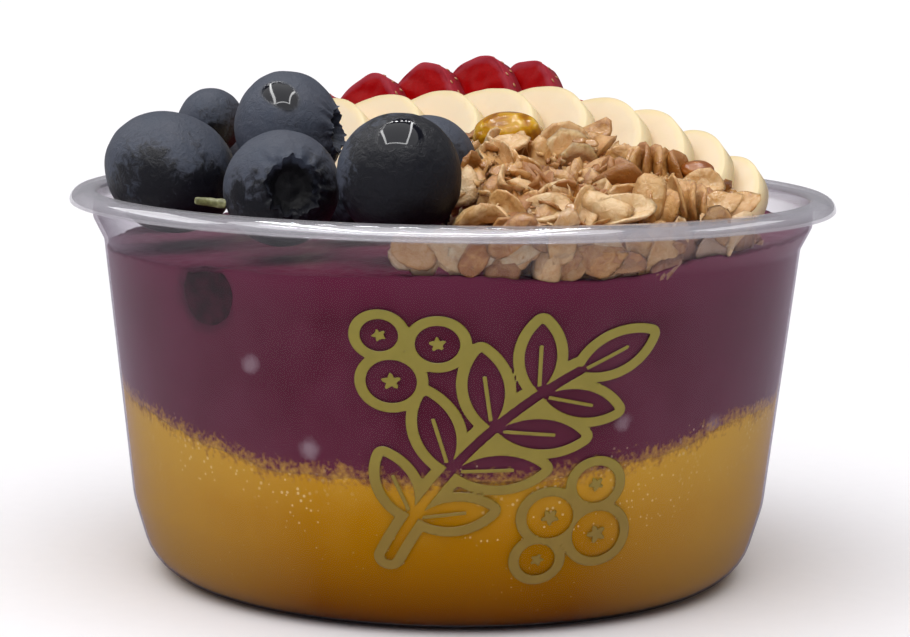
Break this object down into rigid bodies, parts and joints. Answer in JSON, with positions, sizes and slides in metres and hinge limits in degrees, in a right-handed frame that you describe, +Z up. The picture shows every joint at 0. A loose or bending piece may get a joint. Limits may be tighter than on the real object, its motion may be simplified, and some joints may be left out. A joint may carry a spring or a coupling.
{
  "type": "acai bowl",
  "caption": "Acai bowl in a clear formed deli bowl: mango layer under acai, topped with blueberries, banana and strawberry slices and a heap of granola.",
  "frame": {"origin": "centre of the flat base, on the surface the bowl stands on", "axes": "+Z up; -Y is the front, with the blueberries at its left and the granola at its right; +X to the right seen from the front"},
  "size_m": [0.119, 0.119, 0.0795],
  "materials": {
    "clear_sheet": "clear thermoformed PET sheet, glossy",
    "mango_puree": "smooth wet fruit puree",
    "acai_puree": "smooth half-frozen berry puree",
    "toasted_oats": "toasted oat clusters with a honey glaze",
    "blueberry_skin": "dark skin under a pale waxy bloom",
    "banana_flesh": "moist cut fruit",
    "strawberry_flesh": "wet cut fruit"
  },
  "bodies": {
    "root": {"bowl": "clear_sheet", "mango_layer": "mango_puree", "acai_layer": "acai_puree", "granola_heap": "toasted_oats", "blueberry_left": "blueberry_skin", "blueberry_back_left": "blueberry_skin", "blueberry_top": "blueberry_skin", "blueberry_front": "blueberry_skin", "blueberry_glossy": "blueberry_skin", "blueberry_behind": "blueberry_skin", "blueberry_under_a": "blueberry_skin", "blueberry_under_b": "blueberry_skin", "blueberry_side": "blueberry_skin", "blueberry_back_a": "blueberry_skin", "blueberry_back_b": "blueberry_skin", "blueberry_back_c": "blueberry_skin", "banana_slice_1": "banana_flesh", "banana_slice_2": "banana_flesh", "banana_slice_3": "banana_flesh", "banana_slice_4": "banana_flesh", "banana_slice_5": "banana_flesh", "banana_slice_6": "banana_flesh", "banana_slice_7": "banana_flesh", "banana_slice_8": "banana_flesh", "banana_slice_9": "banana_flesh", "strawberry_slice_1": "strawberry_flesh", "strawberry_slice_2": "strawberry_flesh", "strawberry_slice_3": "strawberry_flesh", "strawberry_slice_4": "strawberry_flesh", "strawberry_slice_5": "strawberry_flesh", "strawberry_slice_6": "strawberry_flesh"}
  },
  "joints": []
}
